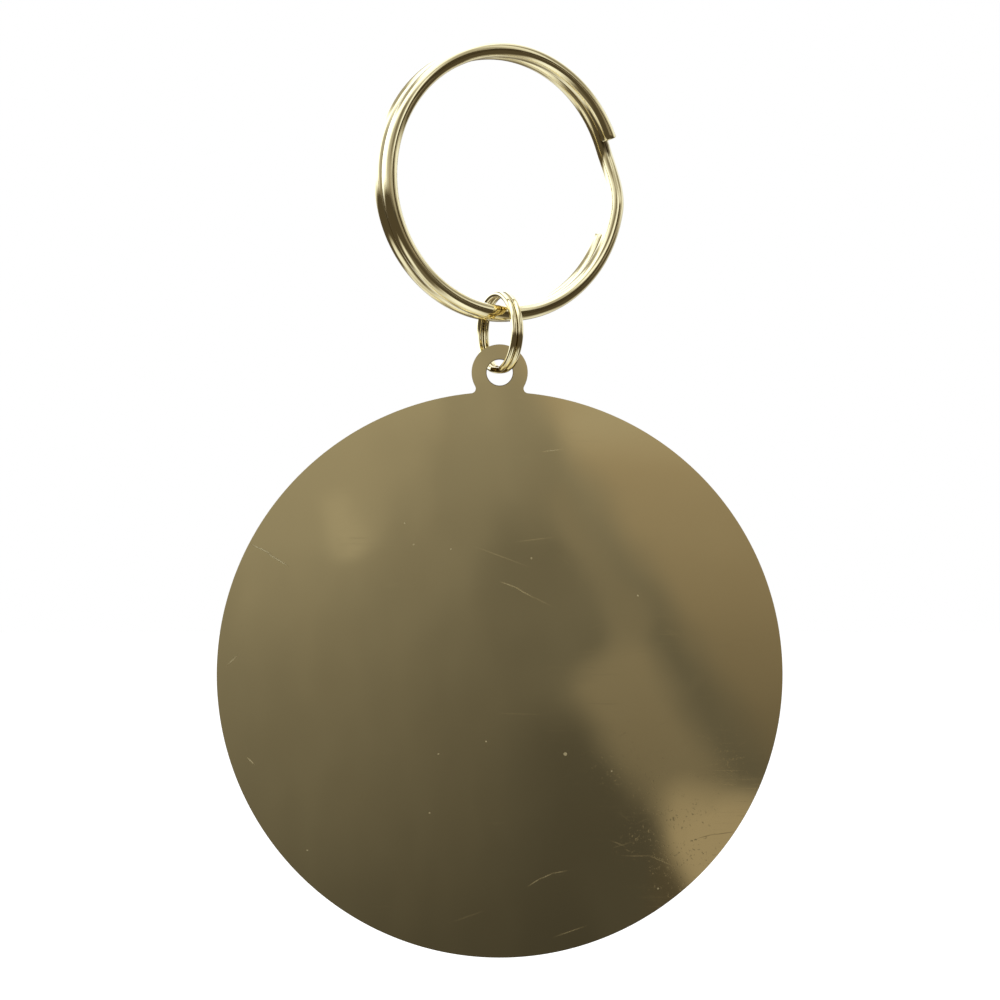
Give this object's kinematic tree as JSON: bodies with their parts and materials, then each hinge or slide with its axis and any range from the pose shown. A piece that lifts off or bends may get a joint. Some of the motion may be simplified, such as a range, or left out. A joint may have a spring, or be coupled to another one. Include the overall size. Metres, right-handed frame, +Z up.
{
  "type": "key tag",
  "caption": "Flat round metal key tag with a pierced ear, hung by a small split ring from a large split ring for keys.",
  "frame": {"origin": "top of the large ring's bore, where the tag hangs from a hook, a peg or a finger", "axes": "+Z up, from the blank to the large ring; the blank lies in the X-Z plane, with its shown face to -Y"},
  "size_m": [0.05, 0.0142, 0.081],
  "materials": {
    "blank": "polished sheet with fine hairline scratches",
    "link_wire": "bright polished round wire",
    "key_wire": "bright polished round wire"
  },
  "bodies": {
    "key_ring": {"key_ring": "key_wire"},
    "link_ring": {"link_ring": "link_wire"},
    "tag_disc": {"tag_disc": "blank"}
  },
  "joints": [
    {"name": "link_swing", "type": "hinge", "parent": "key_ring", "child": "link_ring", "pos_m": [0, 0, -0.02337], "axis": [0.866, 0.5, 0], "range_deg": [-75, 75]},
    {"name": "tag_swing", "type": "hinge", "parent": "link_ring", "child": "tag_disc", "pos_m": [0, 0, -0.0278], "axis": [0.454, -0.891, 0], "range_deg": [-45, 45]}
  ]
}
